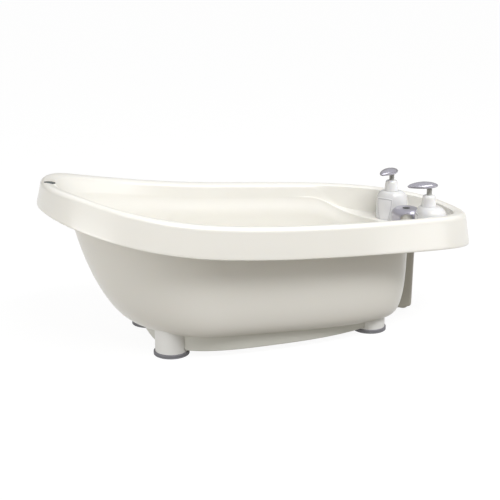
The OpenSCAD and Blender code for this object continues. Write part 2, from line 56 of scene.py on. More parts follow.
# Basin
BASIN_N = (1.8, 3.7)
BASE_HEAD_X, BASE_FOOT_X, BASE_HALF_W = -298, 278, 136
TOP_HEAD_X, TOP_FOOT_X, TOP_HALF_W = -418, 316, 192
HEAD_GROW, FOOT_GROW, SIDE_GROW = 1.45, 2.7, 4.5
FLOOR_MID_Z, FLOOR_FALL = 39, 22
FLARE_FROM, FLARE_HEAD, FLARE_SIDE = 0.81, 16, 11
MOUTH_DROP = 30
DECK_Z = 200
DECK_FROM_X, DECK_FULL_X = 190, 296

# Things that the moulding carries
WELL_X, WELL_Y, WELL_R, WELL_Z = 363, 89, 40, 188
CUP_WALL, CUP_EDGE_CUT = 3, 4
BOSS_R, BOSS_H = 8, 10
POSTS = ((-150, 70), (110, 85))
POST_R = 6
ROOT_DEPTH = 1.5
RIB_X = (-99, 74)
RIB_T = 2.6
ROD_HOLE_R = 6
DRAIN_BORE_R = 17

# Base tray
TRAY_Z, TRAY_TOP_Z, TRAY_WALL, TRAY_FLARE = 13, 62, 2.5, 2
TRAY_MID_X = -44
TRAY_N = (3, 2.5)

# Thermometer button on the head end of the rim
BUTTON_X, BUTTON_R, BUTTON_TILT = -454, 11.7, math.radians(5)
BUTTON_SINK, BUTTON_DROP = 1.2, 1.6

# Bottles
NEAR_TURN, FAR_TURN, FAR_SPOUT_TURN = math.radians(-12), math.radians(44), math.radians(33)
PLAN_N = (2.15, 2.1)
BOTTLE_HALF_DEPTH, BOTTLE_HALF_W, NECK_FORWARD = 35, 37, 7
NECK_R = 12
SHOULDER_FROM, SHOULDER_TO, SHOULDER_IN = 238, 265.3, 19
LABEL_Z = (191, 252)
LABEL_HALF_W = (8, 19.5)
LABEL_SHIFT = 7

# Pump heads
SPOUT_REACH, HEAD_BACK, HEAD_HALF_W, HEAD_MID = 50, 19, 17, 13
HEAD_N = (1.6, 1.8)
SPOUT_DROOP = 1.2
SPOUT_HOLE_X, SPOUT_HOLE_R = -43, 1.6

# Knob's arched window: the way it faces, turned from the near side towards the head end, how far the
# arch's centre is under the knob's top, and its half width
WINDOW_TURN = math.radians(-25)
ARCH_DROP, ARCH_HALF_W = 20.3, 15

# Camera
CAMERA_AZIMUTH, CAMERA_ELEVATION = -19.3, 15.81
CAMERA_DISTANCE = 2251
CAMERA_TARGET = (-27.4, 0, 177.5)
CAMERA_LENS = 74

# Studio
WORLD_LOW, WORLD_HIGH = (0.15, 0.13, 0.09), (0.62, 0.62, 0.62)
WORLD_GRADE = (-0.1, 0.7)
OVERHEAD_POWER, FRONT_POWER, HEAD_SIDE_POWER, FOOT_SIDE_POWER = 2, 73, 17, 6
FLOOR_GLOW = 0.93

# Steps round the tub's outline, and round a turned body
COLUMNS = 320
TURNS = 96

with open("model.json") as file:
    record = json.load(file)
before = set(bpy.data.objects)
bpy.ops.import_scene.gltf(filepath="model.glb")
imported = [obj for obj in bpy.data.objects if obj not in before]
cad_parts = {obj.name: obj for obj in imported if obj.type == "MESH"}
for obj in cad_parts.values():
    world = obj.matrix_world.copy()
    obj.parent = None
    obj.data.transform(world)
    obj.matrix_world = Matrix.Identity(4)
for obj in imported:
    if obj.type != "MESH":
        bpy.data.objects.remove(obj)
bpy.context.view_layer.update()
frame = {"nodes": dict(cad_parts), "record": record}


# ---------------------------------------------------------------- places from the frame

def box_mm(node):
    """Lowest and highest corner of a CAD node, in millimetres."""
    low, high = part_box(node)
    return low / MM, high / MM


def centre_of(node):
    """Centre of a CAD node's box, in millimetres."""
    low, high = box_mm(node)
    return (low + high) / 2


TUB_LOW, TUB_HIGH = box_mm("tub_shell")
HALF_L = (TUB_HIGH.x - TUB_LOW.x) / 2
HALF_W = (TUB_HIGH.y - TUB_LOW.y) / 2


# ---------------------------------------------------------------- mesh helpers

def new_piece(name, points, faces, body, material, slot, replaces=()):
    """A smooth-shaded mesh piece from points in millimetres, riding on a CAD body."""
    mesh = bpy.data.meshes.new(name)
    mesh.from_pydata([Vector(p) * MM for p in points], [], faces)
    mesh.validate()
    piece = bpy.data.objects.new(name, mesh)
    bpy.context.scene.collection.objects.link(piece)
    shade(piece)
    if material:
        finish_piece(piece, body, material, replaces)
    return piece


def finish_piece(piece, body, material, replaces=()):
    """Gives a piece its material, its body and the CAD nodes that it stands for."""
    piece.data.materials.clear()
    piece.data.materials.append(material)
    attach(piece, body)
    if replaces:
        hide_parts(*replaces)


def shade(piece, sharp_over=math.radians(38)):
    """Smooth shading, with an edge left sharp where faces meet at a steep angle."""
    mesh = piece.data
    cleaned = bmesh.new()
    cleaned.from_mesh(mesh)
    bmesh.ops.remove_doubles(cleaned, verts=cleaned.verts, dist=0.00001)
    bmesh.ops.recalc_face_normals(cleaned, faces=cleaned.faces)
    cleaned.to_mesh(mesh)
    cleaned.free()
    mesh.shade_smooth()
    mesh.set_sharp_from_angle(angle=sharp_over)


def even_normals(piece):
    """Lets large flat faces keep flat shading beside small rounded ones."""
    weighted = piece.modifiers.new("even_normals", "WEIGHTED_NORMAL")
    weighted.keep_sharp = True
    weighted.weight = 80


def combine(piece, tool, operation):
    """Applies a boolean of tool to piece, and removes the tool."""
    modifier = piece.modifiers.new("combine", "BOOLEAN")
    modifier.operation = operation
    modifier.solver = "EXACT"
    modifier.object = tool
    depsgraph = bpy.context.evaluated_depsgraph_get()
    mesh = bpy.data.meshes.new_from_object(piece.evaluated_get(depsgraph))
    piece.modifiers.clear()
    piece.data = mesh
    bpy.data.objects.remove(tool)
    shade(piece)


def loft(rings, ends=True):
    """Points and faces through rings of equal point count, with the two ends closed."""
    count = len(rings[0])
    points = [p for ring in rings for p in ring]
    faces = []
    for j in range(len(rings) - 1):
        for i in range(count):
            k = (i + 1) % count
            faces.append((j * count + i, j * count + k, (j + 1) * count + k, (j + 1) * count + i))
    if ends:
        faces.append(tuple(reversed(range(count))))
        faces.append(tuple((len(rings) - 1) * count + i for i in range(count)))
    return points, faces


def closed_loft(rings):
    """A loft whose last ring joins its first, as in a ring-shaped body."""
    points, faces = loft(rings, ends=False)
    count, last = len(rings[0]), len(rings) - 1
    for i in range(count):
        k = (i + 1) % count
        faces.append((last * count + i, last * count + k, k, i))
    return points, faces


def rounded(path, steps=5):
    """Rounds the corners of a path of (point, cut) pairs; cut is where the curve starts, 0 is sharp."""
    out = []
    for i, (corner, cut) in enumerate(path):
        if cut == 0 or i in (0, len(path) - 1):
            out.append(corner)
            continue
        before, after = path[i - 1][0] - corner, path[i + 1][0] - corner
        cut = min(cut, 0.48 * before.length, 0.48 * after.length)
        start, end = corner + before.normalized() * cut, corner + after.normalized() * cut
        for k in range(steps + 1):
            u = k / steps
            out.append(start * (1 - u) ** 2 + corner * 2 * u * (1 - u) + end * u * u)
    return out


def lathe(profile, centre=(0, 0), turns=TURNS, steps=5):
    """A turned body from (radius, z, cut) corners, from its lowest point on the axis or bore and round."""
    path = rounded([(Vector((r, z)), cut) for r, z, cut in profile], steps)
    rings = []
    for r, z in path:
        ring = []
        for i in range(turns):
            a = 2 * math.pi * i / turns
            ring.append(Vector((centre[0] + r * math.cos(a), centre[1] + r * math.sin(a), z)))
        rings.append(ring)
    return rings


def turned(name, profile, centre, body, material, slot, replaces=(), turns=TURNS):
    """A turned piece. A profile that starts and ends on the axis is solid, any other is a ring."""
    rings = lathe(profile, centre, turns)
    solid = profile[0][0] == 0 and profile[-1][0] == 0
    points, faces = loft(rings, ends=False) if solid else closed_loft(rings)
    return new_piece(name, points, faces, body, material, slot, replaces)


def tool(name, points, faces):
    """A helper mesh for a boolean."""
    return new_piece(name, points, faces, None, None, None)


def joined(name, parts):
    """One helper mesh from several closed ones."""
    points, faces = [], []
    for part_points, part_faces in parts:
        start = len(points)
        points += part_points
        faces += [tuple(start + i for i in face) for face in part_faces]
    return tool(name, points, faces)


# ---------------------------------------------------------------- shape of the tub

def mix(a, b, t):
    """A value between a and b: a at 0 and b at 1."""
    return a + (b - a) * t


def smooth(v):
    """An even ease from 0 to 1."""
    t = max(0, min(1, v))
    return t * t * (3 - 2 * t)


def outline_point(t, head, foot, half_w, n, mid_x=WIDE_X):
    """A point of an outline of two half superellipses that meet at the widest line."""
    c, s = math.cos(t), math.sin(t)
    power = n[0] if c < 0 else n[1]
    k = (abs(c) ** power + abs(s) ** power) ** (1 / power)
    return mid_x + (head if c < 0 else foot) * c / k, half_w * s / k


def sweep_z(x):
    """Height of the rim's sweep along the bath, which the skirt follows."""
    u = x / HALF_L
    return sum(c * u ** i for i, c in enumerate(SWEEP))


def rim_z(x):
    """Height of the rim's crest: the sweep, eased down at the head end."""
    past = max(0, (EASE_FROM_X - x) / (HALF_L + EASE_FROM_X))
    return sweep_z(x) - HEAD_EASE * past ** 2


def skirt_drop(x):
    """How far the skirt's lower edge hangs below the sweep."""
    u = x / HALF_L
    return SKIRT_H + u + 5 * u * u


def floor_z(x):
    """Height of the basin's underside, which falls towards the foot end."""
    return FLOOR_MID_Z - FLOOR_FALL * x / HALF_L


def deck_share(x):
    """How much of the deck there is: 0 in the basin and 1 at the foot end."""
    return smooth((x - DECK_FROM_X) / (DECK_FULL_X - DECK_FROM_X))


def rim_xy(t, inset):
    """A point of the rim's outline, drawn in."""
    return outline_point(t, HALF_L + WIDE_X - inset, HALF_L - WIDE_X - inset, HALF_W - inset, RIM_N)


def grown(s, rate):
    """Share of its full spread that the basin has at a height: fast at first, then slower."""
    return max(0, 1 - (1 - s) ** rate) ** (1 / rate)


def basin_point(t, s, inset):
    """A point of the basin's wall: s is 0 at the floor and 1 at the mouth."""
    flare = smooth((s - FLARE_FROM) / (1 - FLARE_FROM))
    x, y = outline_point(
        t,
        WIDE_X - mix(BASE_HEAD_X, TOP_HEAD_X, grown(s, HEAD_GROW)) + FLARE_HEAD * flare - inset,
        mix(BASE_FOOT_X, TOP_FOOT_X, grown(s, FOOT_GROW)) - WIDE_X - inset,
        mix(BASE_HALF_W, TOP_HALF_W, grown(s, SIDE_GROW)) + FLARE_SIDE * flare - inset,
        BASIN_N,
    )
    mouth = mix(rim_z(x) - MOUTH_DROP, DECK_Z, deck_share(x))
    return Vector((x, y, mix(floor_z(x) + inset, mouth - WALL + inset, s)))


def arc_point(t, degrees, radii, thick):
    """A point of the rolled rim: 0 degrees is the crest, plus turns outwards and minus inwards."""
    a = math.radians(degrees)
    inset = CREST_INSET - (radii[0] - thick) * math.sin(a)
    drop = thick - CREST_RISE + (radii[1] - thick * math.cos(a)) * (1 - math.cos(a))
    x, y = rim_xy(t, inset)
    return Vector((x, y, rim_z(x) - drop))


def skirt_point(t, inset, up):
    """A point near the skirt's lower edge."""
    x, y = rim_xy(t, inset)
    return Vector((x, y, sweep_z(x) - skirt_drop(x) + up))


def ledge_point(t, inset, lower):
    """A point where the rolled rim meets the basin's mouth, or the deck at the foot end."""
    x, y = rim_xy(t, inset)
    return Vector((x, y, mix(rim_z(x) - LEDGE_DROP, DECK_Z, deck_share(x)) - lower))


BASIN_STEPS = [1 - math.cos(math.radians(a)) ** (2 / SIDE_GROW) for a in range(0, 70, 5)]
BASIN_STEPS += [0.4, 0.475, 0.55, 0.62, 0.69, 0.75, 0.79, 0.82, 0.85, 0.88, 0.91, 0.94, 0.97]
FLOOR_RINGS = 8


def floor_ring_points(t, inset, share):
    """A point of the flat floor, on the way from its edge to its middle."""
    edge = basin_point(t, 0, inset)
    x, y = mix(-20, edge.x, share), edge.y * share
    return Vector((x, y, floor_z(x) + inset))


def tub_section(t):
    """The moulding's section at one direction, from under the floor, over the rim, to the basin's floor."""
    shares = [(i + 1) / (FLOOR_RINGS + 1) for i in range(FLOOR_RINGS)]
    path = [(floor_ring_points(t, 0, share), 0) for share in shares]
    path += [(basin_point(t, s, 0), 0) for s in BASIN_STEPS]
    path += [(basin_point(t, 1, 0), 6)]
    path += [(ledge_point(t, LEDGE_INSET - WALL, WALL + 0.2), 3)]
    path += [(arc_point(t, a, OUTER_ARC, WALL), 0) for a in range(0, 100, 15)]
    path += [(skirt_point(t, WALL + 0.5, 3), 0), (skirt_point(t, WALL + 0.4, 0), 1.2)]
    path += [(skirt_point(t, 0.2, 0), 1.6), (skirt_point(t, 0, 6), 0)]
    path += [(arc_point(t, a, OUTER_ARC, 0), 0) for a in range(90, 0, -9)]
    path += [(arc_point(t, a, INNER_ARC, 0), 0) for a in range(0, INNER_ARC_END - 1, -13)]
    path += [(ledge_point(t, LEDGE_INSET, 0), 5)]
    rim_edge, mouth = ledge_point(t, LEDGE_INSET, 0), basin_point(t, 1, WALL)
    path += [(mix(rim_edge, mouth, share), 0) for share in (0.35, 0.6)]
    path += [(mouth, 8)]
    path += [(basin_point(t, s, WALL), 0) for s in reversed(BASIN_STEPS)]
    path += [(floor_ring_points(t, WALL, share), 0) for share in reversed(shares)]
    return rounded(path)


def tub_mesh():
    """The whole moulding, before its wells, bosses and bores."""
    sections = [tub_section(2 * math.pi * i / COLUMNS) for i in range(COLUMNS)]
    rings = [[section[j] for section in sections] for j in range(len(sections[0]))]
    return loft(rings)


def basin_mesh():
    """The basin's outer surface as a closed body, to trim the legs and the tray."""
    rings = []
    for s in BASIN_STEPS + [1]:
        rings.append([basin_point(2 * math.pi * i / COLUMNS, s, 0) for i in range(COLUMNS)])
    return loft(rings)


def rod_mesh(x, y, r, low, high, cut=0.0):
    """A plain upright rod with a rounded lower edge, as part of a helper."""
    return loft(lathe([(0, low, 0), (r, low, cut), (r, high, 0), (0, high, 0)], (x, y), 48), ends=False)


def half_at(x, head, foot, half_w, n):
    """Half width of an outline at one place along the bath."""
    length, power = (head, n[0]) if x < WIDE_X else (foot, n[1])
    return half_w * (1 - (abs(x - WIDE_X) / length) ** power) ** (1 / power)


def rib_mesh(x, side):
    """A gusset between the skirt and the basin's wall."""
    edge = sweep_z(x) - skirt_drop(x)
    skirt_y = half_at(x, HALF_L + WIDE_X, HALF_L - WIDE_X, HALF_W, RIM_N)
    wall_y = half_at(x, WIDE_X - TOP_HEAD_X, TOP_FOOT_X - WIDE_X, TOP_HALF_W, BASIN_N) - WALL / 2
    corners = [
        (wall_y, edge - 16), (skirt_y - WALL, edge + 6), (skirt_y - 11, edge + 40),
        (wall_y + FLARE_SIDE, edge + 30),
    ]
    path = rounded([(Vector((y, z)), 2) for y, z in corners], 4)
    rings = [[Vector((x + end, side * y, z)) for y, z in path] for end in (-RIB_T / 2, RIB_T / 2)]
    return loft(rings)


def legs():
    """Centres of the four legs, from their feet."""
    return [centre_of(f"foot_{end}_{side}") for end in ("head", "foot") for side in ("near", "far")]


def make_tub():
    """The tub's one moulding: basin, rim, skirt, deck, wells, bosses, posts and gussets."""
    points, faces = tub_mesh()
    tub = tool("tub", points, faces)
    posts = [(x, side * y) for x, y in POSTS for side in (-1, 1)]
    cup_r, cup_low, cup_top = WELL_R + CUP_WALL, WELL_Z - CUP_WALL, DECK_Z - 1
    added = [rod_mesh(WELL_X, side * WELL_Y, cup_r, cup_low, cup_top, CUP_EDGE_CUT) for side in (-1, 1)]
    for leg in legs():
        root_z = floor_z(leg.x)
        added.append(rod_mesh(leg.x, leg.y, BOSS_R, root_z - BOSS_H, root_z + ROOT_DEPTH))
    added += [rod_mesh(x, y, POST_R, TRAY_Z + TRAY_WALL, floor_z(x) + ROOT_DEPTH) for x, y in posts]
    added += [rib_mesh(x, side) for x in RIB_X for side in (-1, 1)]
    combine(tub, joined("added", added), "UNION")
    valve = centre_of("valve_rod")
    drain = centre_of("drain_seal")
    cut = []
    for side in (-1, 1):
        well = [(0, WELL_Z, 0), (WELL_R, WELL_Z, 3), (WELL_R, DECK_Z - 1.6, 0)]
        well += [(WELL_R + 0.5, DECK_Z - 0.5, 0), (WELL_R + 1.6, DECK_Z + 0.02, 0)]
        well += [(WELL_R + 1.6, DECK_Z + 20, 0), (0, DECK_Z + 20, 0)]
        cut.append(loft(lathe(well, (WELL_X, side * WELL_Y)), ends=False))
    cut.append(rod_mesh(valve.x, valve.y, ROD_HOLE_R, DECK_Z - 20, DECK_Z + 20))
    cut.append(rod_mesh(drain.x, drain.y, DRAIN_BORE_R, 0, 60))
    combine(tub, joined("cut", cut), "DIFFERENCE")
    seat_button(tub)
    even_normals(tub)
    finish_piece(tub, "tub", PLASTIC["tub"], ["tub_shell"])


# ---------------------------------------------------------------- thermometer button

def at_button(rings):
    """Tilts rings made about the origin on to the head end of the rim."""
    origin = Vector((BUTTON_X, 0, rim_z(BUTTON_X) - BUTTON_DROP))
    c, s = math.cos(BUTTON_TILT), math.sin(BUTTON_TILT)
    return [[origin + Vector((p.x * c + p.z * s, p.y, -p.x * s + p.z * c)) for p in ring] for ring in rings]


def seat_button(tub):
    """Raises a soft pad on the rim and sinks the button's seat in it."""
    r = BUTTON_R
    pad = lathe([(0, -6, 0), (r + 5, -6, 0), (r + 2.4, -2, 3), (r + 0.9, 0.5, 0.7), (0, 0.5, 0)])
    combine(tub, tool("pad", *loft(at_button(pad), ends=False)), "UNION")
    seat = lathe([(0, -BUTTON_SINK, 0), (BUTTON_R, -BUTTON_SINK, 0), (BUTTON_R, 9, 0), (0, 9, 0)])
    combine(tub, tool("seat", *loft(at_button(seat), ends=False)), "DIFFERENCE")


def make_button():
    """The thermometer button: a dark ring round a domed window."""
    r = BUTTON_R
    low = -BUTTON_SINK
    bezel = lathe([
        (0, low, 0), (r - 0.1, low, 0.3), (r, 1.4, 0.8), (r - 1.8, 1.8, 0.5), (r - 1.9, 0, 0), (0, 0, 0),
    ])
    window = lathe([(0, 0, 0), (r - 2, 0, 0.3), (r - 2, 1.6, 0.8), (r - 5, 3, 2), (0, 3.8, 0)])
    new_piece("button_bezel", *loft(at_button(bezel), ends=False), "tub", PLASTIC["dark"], "dark_plastic",
              ["thermometer_bezel"])
    new_piece("button_window", *loft(at_button(window), ends=False), "tub", PLASTIC["window"], "dark_window",
              ["thermometer_window"])


# ---------------------------------------------------------------- legs, feet and tray

def make_legs():
    """Four hollow legs, cut to the basin's underside, each with its foot."""
    for end in ("head", "foot"):
        for side in ("near", "far"):
            foot = centre_of(f"foot_{end}_{side}")
            low, high = box_mm(f"leg_{end}_{side}")
            r = (high.x - low.x) / 2
            inner = r - 3
            top = high.z + 12
            profile = [(inner, low.z, 0.5), (r, low.z, 0.6), (r, top, 0), (inner, top, 0)]
            leg = tool(f"leg_{end}_{side}_mesh", *closed_loft(lathe(profile, (foot.x, foot.y))))
            combine(leg, tool("basin", *basin_mesh()), "DIFFERENCE")
            even_normals(leg)
            finish_piece(leg, "tub", PLASTIC["leg"], [f"leg_{end}_{side}"])
            make_foot(f"foot_{end}_{side}", foot, r)


def make_foot(node, centre, leg_r):
    """A rubber ring under the leg, with a groove round it."""
    low, high = box_mm(node)
    r = (high.x - low.x) / 2
    top = high.z
    profile = [
        (0, 0, 0), (r - 2, 0, 0), (r, 0.8, 1), (r, 3, 0.4), (r - 0.7, 3.4, 0.3), (r - 0.7, 4.2, 0.3),
        (r, 4.6, 0.4), (r - 0.2, top - 1, 1), (leg_r + 0.3, top, 0.5), (leg_r + 0.1, top - 1.5, 0),
        (leg_r + 0.1, 3, 0), (0, 3, 0),
    ]
    turned(f"{node}_mesh", profile, (centre.x, centre.y), "tub", PLASTIC["foot"], "foot_rubber", [node])


def make_tray():
    """The shallow lower moulding, tucked up under the basin."""
    low, high = box_mm("base_tray")
    head = TRAY_MID_X - low.x - TRAY_FLARE
    foot = high.x - TRAY_MID_X - TRAY_FLARE
    half_w = (high.y - low.y) / 2 - TRAY_FLARE

    def ring_point(t, inset, z):
        """A point of the tray's plan, drawn in."""
        x, y = outline_point(t, head - inset, foot - inset, half_w - inset, TRAY_N, TRAY_MID_X)
        return Vector((x, y, z))

    def section(t):
        """The tray's section at one direction, from its middle, up its wall and back inside."""
        path = []
        for share in (0.25, 0.5, 0.75):
            edge = ring_point(t, 6, low.z)
            path.append((Vector((mix(TRAY_MID_X, edge.x, share), edge.y * share, low.z)), 0))
        path += [(ring_point(t, 6, low.z), 0), (ring_point(t, 0, low.z), 6), (ring_point(t, 0, low.z + 9), 0)]
        path += [(ring_point(t, inset - TRAY_FLARE, TRAY_TOP_Z), 0) for inset in (0, TRAY_WALL)]
        path += [(ring_point(t, TRAY_WALL + 1, low.z + TRAY_WALL + 8), 0)]
        path += [(ring_point(t, TRAY_WALL + 1, low.z + TRAY_WALL), 5)]
        path += [(ring_point(t, 12, low.z + TRAY_WALL), 0)]
        return rounded(path)

    sections = [section(2 * math.pi * i / COLUMNS) for i in range(COLUMNS)]
    rings = [[column[j] for column in sections] for j in range(len(sections[0]))]
    tray = tool("tray", *loft(rings))
    combine(tray, tool("basin", *basin_mesh()), "DIFFERENCE")
    leg_low, leg_high = box_mm("leg_head_near")
    hole_r = (leg_high.x - leg_low.x) / 2 + 0.3
    holes = [rod_mesh(leg.x, leg.y, hole_r, 0, 80) for leg in legs()]
    duct = centre_of("drain_duct")
    duct_low, duct_high = box_mm("drain_duct")
    holes.append(block_mesh((duct.x, -25, duct_low.z - 0.5), (duct_high.x, 25, duct_high.z + 0.7)))
    combine(tray, joined("holes", holes), "DIFFERENCE")
    even_normals(tray)
    finish_piece(tray, "tub", PLASTIC["tray"], ["base_tray"])


def block_mesh(low, high):
    """A plain block, as a helper."""
    ring = [(low[0], low[1]), (high[0], low[1]), (high[0], high[1]), (low[0], high[1])]
    return loft([[Vector((x, y, z)) for x, y in ring] for z in (low[2], high[2])])


# ---------------------------------------------------------------- drain column and knob

def make_column():
    """The D-shaped column under the deck, with rounded edges and the outlet under it."""
    low, high = box_mm("drain_housing")
    valve = centre_of("valve_rod")

    def plan(inset, taper):
        """The column's D-shaped plan, drawn in."""
        side, front = high.y - inset - taper, high.x - valve.x + 4 - inset - taper
        back = low.x + inset
        path = [(Vector((back, -side)), 3), (Vector((valve.x - 4, -side)), 0)]
        for k in range(-15, 16):
            a = math.radians(5 * k)
            path.append((Vector((valve.x - 4 + front * math.cos(a), side * math.sin(a))), 0))
        path += [(Vector((valve.x - 4, side)), 0), (Vector((back, side)), 3), (Vector((back, 0)), 0)]
        return rounded(path)

    rings = []
    for inset, up in ((6, 0), (3, 0.4), (1.2, 1.6), (0.3, 3.6), (0, 6)):
        rings.append([Vector((x, y, low.z + up)) for x, y in plan(inset, 2.6)])
    for share in (0.25, 0.5, 0.75, 1):
        z = mix(low.z + 6, high.z, share)
        rings.append([Vector((x, y, z)) for x, y in plan(0, 2.6 * (1 - share))])
    new_piece("drain_column", *loft(rings), "tub", PLASTIC["drain"], "drain_plastic", ["drain_housing"])

    low, high = box_mm("outlet_spigot")
    bore = 7.5
    r = 11
    profile = [
        (bore, low.z, 0.4), (r, low.z, 0.8), (r, low.z + 2.4, 0.5), (r - 0.6, low.z + 3.2, 0.4),
        (r - 0.6, high.z - 5, 0.4), (r + 1.5, high.z - 4.4, 0.4), (r + 1.5, high.z, 0), (bore, high.z, 0),
    ]
    turned("outlet", profile, (valve.x, valve.y), "tub", PLASTIC["drain"], "drain_plastic", ["outlet_spigot"])


def make_knob():
    """The round knob: a domed drum with a dished top and an arched window in its side."""
    low, high = box_mm("drain_knob")
    centre = centre_of("drain_knob")
    r = (high.x - low.x) / 2
    top = high.z - 1.8
    profile = [
        (0, low.z, 0), (r - 1.5, low.z, 0.8), (r, top - 11, 3), (r - 1.2, top - 6.5, 2),
        (r - 4.5, top - 2, 2.5), (r - 8.5, top + 1.2, 1.5), (r - 10.5, top + 1.8, 0.7),
        (r - 12, top + 1.2, 0.5), (12, top + 1.6, 0.6), (9, top + 1, 0.5), (0, top + 1, 0),
    ]
    knob = tool("knob", *loft(lathe(profile, (centre.x, centre.y)), ends=False))
    inside = [(0, low.z - 1, 0), (r - 4, low.z - 1, 0), (r - 4, top - 12, 3)]
    inside += [(r - 9, top - 4, 1.5), (0, top - 4, 0)]
    hollow = lathe(inside, (centre.x, centre.y))
    combine(knob, tool("hollow", *loft(hollow, ends=False)), "DIFFERENCE")
    combine(knob, tool("window", *window_mesh(centre, r, low.z, top - ARCH_DROP)), "DIFFERENCE")
    even_normals(knob)
    finish_piece(knob, "knob", PLASTIC["grey"], ["drain_knob"])

    low, high = box_mm("knob_cap")
    profile = [
        (0, low.z, 0), (8.4, low.z, 0.1), (8.4, low.z + 0.5, 0.2), (6.5, high.z, 0.4), (3, low.z + 0.6, 0.5),
        (0, low.z + 0.5, 0),
    ]
    turned("knob_dimple", profile, (centre.x, centre.y), "knob", PLASTIC["dark"], "dark_plastic",
           ["knob_cap"])


def window_mesh(centre, knob_r, bottom, arch_z):
    """The arched opening in the knob's side, as a helper."""
    arch = [Vector((-ARCH_HALF_W, bottom - 5))]
    for k in range(25):
        a = math.pi - math.pi * k / 24
        arch.append(Vector((ARCH_HALF_W * math.cos(a), arch_z + ARCH_HALF_W * math.sin(a))))
    arch.append(Vector((ARCH_HALF_W, bottom - 5)))
    c, s = math.cos(WINDOW_TURN), math.sin(WINDOW_TURN)
    rings = [[Vector((centre.x + x * c + y * s, centre.y + x * s - y * c, z)) for x, z in arch]
             for y in (knob_r + 5, knob_r - 7)]
    return loft(rings)


# ---------------------------------------------------------------- bottles and pumps

def place(points, axis, turn):
    """Turns points made about the neck's axis and puts them on it."""
    c, s = math.cos(turn), math.sin(turn)
    return [Vector((axis.x + p.x * c - p.y * s, axis.y + p.x * s + p.y * c, p.z)) for p in points]


def bottle_ring(inset, z, share=1.0, count=128):
    """The bottle's plan, drawn in. Share is how much of the neck's offset from its middle is left."""
    ring, half_depth = [], BOTTLE_HALF_DEPTH - inset
    for i in range(count):
        t = 2 * math.pi * i / count
        x, y = outline_point(t, half_depth, half_depth, BOTTLE_HALF_W - inset, PLAN_N, NECK_FORWARD * share)
        ring.append(Vector((x, y, z)))
    return ring


def circle_ring(r, z, count=128):
    """A ring about the neck's axis."""
    return [Vector((r * math.cos(2 * math.pi * i / count), r * math.sin(2 * math.pi * i / count), z))
            for i in range(count)]


def shoulder_inset(z):
    """How far the plan draws in on the domed shoulder."""
    u = min(1, max(0, (z - SHOULDER_FROM) / (SHOULDER_TO - SHOULDER_FROM)))
    return SHOULDER_IN * (1 - math.sqrt(1 - u * u))


def neck_share(z):
    """How much of the neck's offset is left on the shoulder."""
    return 1 - shoulder_inset(z) / SHOULDER_IN


def make_bottle(side, turn, spout_turn):
    """A hollow bottle with its label, collar, stem and pump head."""
    axis = centre_of(f"pump_collar_{side}")
    low, high = box_mm(f"bottle_{side}")
    heel = ((9, 0.6), (6, 0), (3.4, 0.4), (1.4, 1.8), (0.3, 4), (0, 7))
    rings = [bottle_ring(inset, low.z + up) for inset, up in heel]
    rings += [bottle_ring(0, z) for z in (205, 215, 225, 232)]
    for k in range(0, 15):
        a = math.radians(90 * k / 14)
        z = mix(SHOULDER_FROM, SHOULDER_TO, math.sin(a))
        rings.append(bottle_ring(shoulder_inset(z), z, neck_share(z)))
    rings += [circle_ring(14.5, 265.5), circle_ring(NECK_R + 0.6, 265.6), circle_ring(NECK_R, 266.4)]
    rings += [circle_ring(NECK_R, high.z), circle_ring(NECK_R - 2, high.z), circle_ring(NECK_R - 2, 262)]
    rings += [bottle_ring(20, 261, 0), bottle_ring(10, 256, 0.5), bottle_ring(1.8, 238)]
    rings += [bottle_ring(1.6, low.z + 8), bottle_ring(5, low.z + 2)]
    points, faces = loft(rings)
    new_piece(f"bottle_{side}_mesh", place(points, axis, turn), faces, f"bottle_{side}", PLASTIC["bottle"],
              "bottle_plastic", [f"bottle_{side}"])
    make_label(side, turn, axis)
    make_collar(side, axis)
    make_stem(side, axis)
    make_head(side, spout_turn, axis)


def label_half_w(v):
    """Half width of the shield-shaped label: v is 0 at its foot and 1 at its top."""
    return mix(*LABEL_HALF_W, math.sin(min(1, v * 1.12) * math.pi / 2) ** 0.9)


def label_point(u, v, lift):
    """A point of the label, a little to one side of the bottle's front: u runs across it from -1 to 1."""
    z = mix(*LABEL_Z, v) - 2.2 * (abs(u) ** 2.5) * (1 if v > 0.9 else 0) + 1.5 * u * u * (1 - v)
    y = u * label_half_w(v) + LABEL_SHIFT
    inset = shoulder_inset(z) - lift
    half_w = BOTTLE_HALF_W - inset
    x = -(BOTTLE_HALF_DEPTH - inset) * (1 - (abs(y) / half_w) ** PLAN_N[0]) ** (1 / PLAN_N[0])
    return Vector((x + NECK_FORWARD * neck_share(z), y, z))


def make_label(side, turn, axis):
    """A blank shield-shaped label with a raised border, on the bottle's front."""
    across, up = 33, 41

    def lift(u, v):
        """Height over the bottle: the label's edge dips into it."""
        return -0.25 if min(1 - abs(u), v, 1 - v) <= 0.0001 else 0.18

    points, faces = [], []
    for j in range(up):
        for i in range(across):
            u, v = edge_spread(i, across), 0.5 + 0.5 * edge_spread(j, up)
            points.append(label_point(u, v, lift(u, v)))
    for j in range(up - 1):
        for i in range(across - 1):
            a = j * across + i
            faces.append((a, a + across, a + across + 1, a + 1))
    label = new_piece(f"label_{side}", place(points, axis, turn), faces, f"bottle_{side}", PLASTIC["label"],
                      "bottle_plastic")
    thicken(label)
    make_label_edge(side, turn, axis)


def thicken(piece):
    """Gives a sheet a thickness of 0.2 mm."""
    solid = piece.modifiers.new("thickness", "SOLIDIFY")
    solid.thickness = 0.0002
    solid.offset = -1


